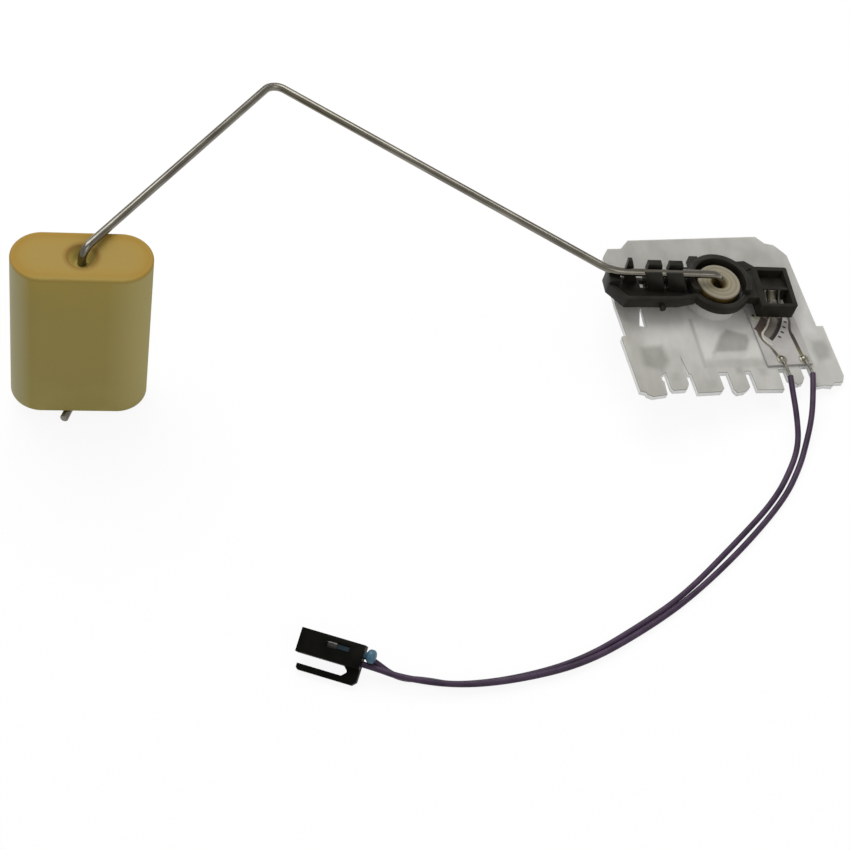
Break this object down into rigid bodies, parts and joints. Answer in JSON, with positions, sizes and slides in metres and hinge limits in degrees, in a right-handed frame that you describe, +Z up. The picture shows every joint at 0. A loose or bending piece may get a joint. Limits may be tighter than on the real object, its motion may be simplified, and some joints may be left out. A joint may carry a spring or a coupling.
{
  "type": "fuel level sender",
  "caption": "Float-arm fuel level sender: a foam float on a bent wire turns a wiper over a printed resistor card on a clip-in plate, with leads to a latching plug",
  "frame": {"origin": "centre of the footprint of the plate, arm and float, on the surface that the sender lies on", "axes": "+X from the float to the plate, +Y from the plug to the bend of the arm, +Z up from the surface"},
  "size_m": [0.2117, 0.1546, 0.0545],
  "materials": {
    "plate_nylon": "translucent natural moulded nylon, satin",
    "bush_acetal": "cream acetal, smooth",
    "carrier_acetal": "black moulded acetal, satin",
    "spring_bronze": "bright rolled spring sheet",
    "arm_steel": "drawn stainless wire, bright",
    "float_foam": "closed-cell nitrile foam, fine matt skin",
    "card_ceramic": "white alumina ceramic, matt",
    "resistor_ink": "grey printed resistor film",
    "brown_ink": "brown printed film",
    "conductor_ink": "pale silver-bearing printed conductor",
    "mark_ink": "black printed marks",
    "solder": "bright solder",
    "core_copper": "tinned copper strand",
    "lead_purple": "purple insulation, satin",
    "plug_black": "black moulded nylon, satin",
    "lock_blue": "blue moulded nylon, smooth",
    "terminal_tin": "tin-plated sheet"
  },
  "bodies": {
    "base": {"mounting_plate": "plate_nylon", "pivot_bush": "bush_acetal", "resistor_card": "card_ceramic", "inner_track": "brown_ink", "centre_track": "conductor_ink", "outer_track": "resistor_ink", "trim_marks": "mark_ink", "left_trace": "conductor_ink", "right_trace": "resistor_ink", "left_solder_joint": "solder", "right_solder_joint": "solder", "left_lead_core": "core_copper", "right_lead_core": "core_copper", "left_lead": "lead_purple", "right_lead": "lead_purple", "connector_housing": "plug_black", "connector_lock": "lock_blue", "left_terminal": "terminal_tin", "right_terminal": "terminal_tin"},
    "swing": {"wiper_carrier": "carrier_acetal", "wiper_contact": "spring_bronze", "float_arm": "arm_steel", "foam_float": "float_foam"}
  },
  "joints": [
    {"name": "float_hinge", "type": "hinge", "parent": "base", "child": "swing", "pos_m": [0.07431, -0.00469, 0.01574], "axis": [0.2181, 0.0262, 0.9756], "range_deg": [-18, 30]}
  ]
}
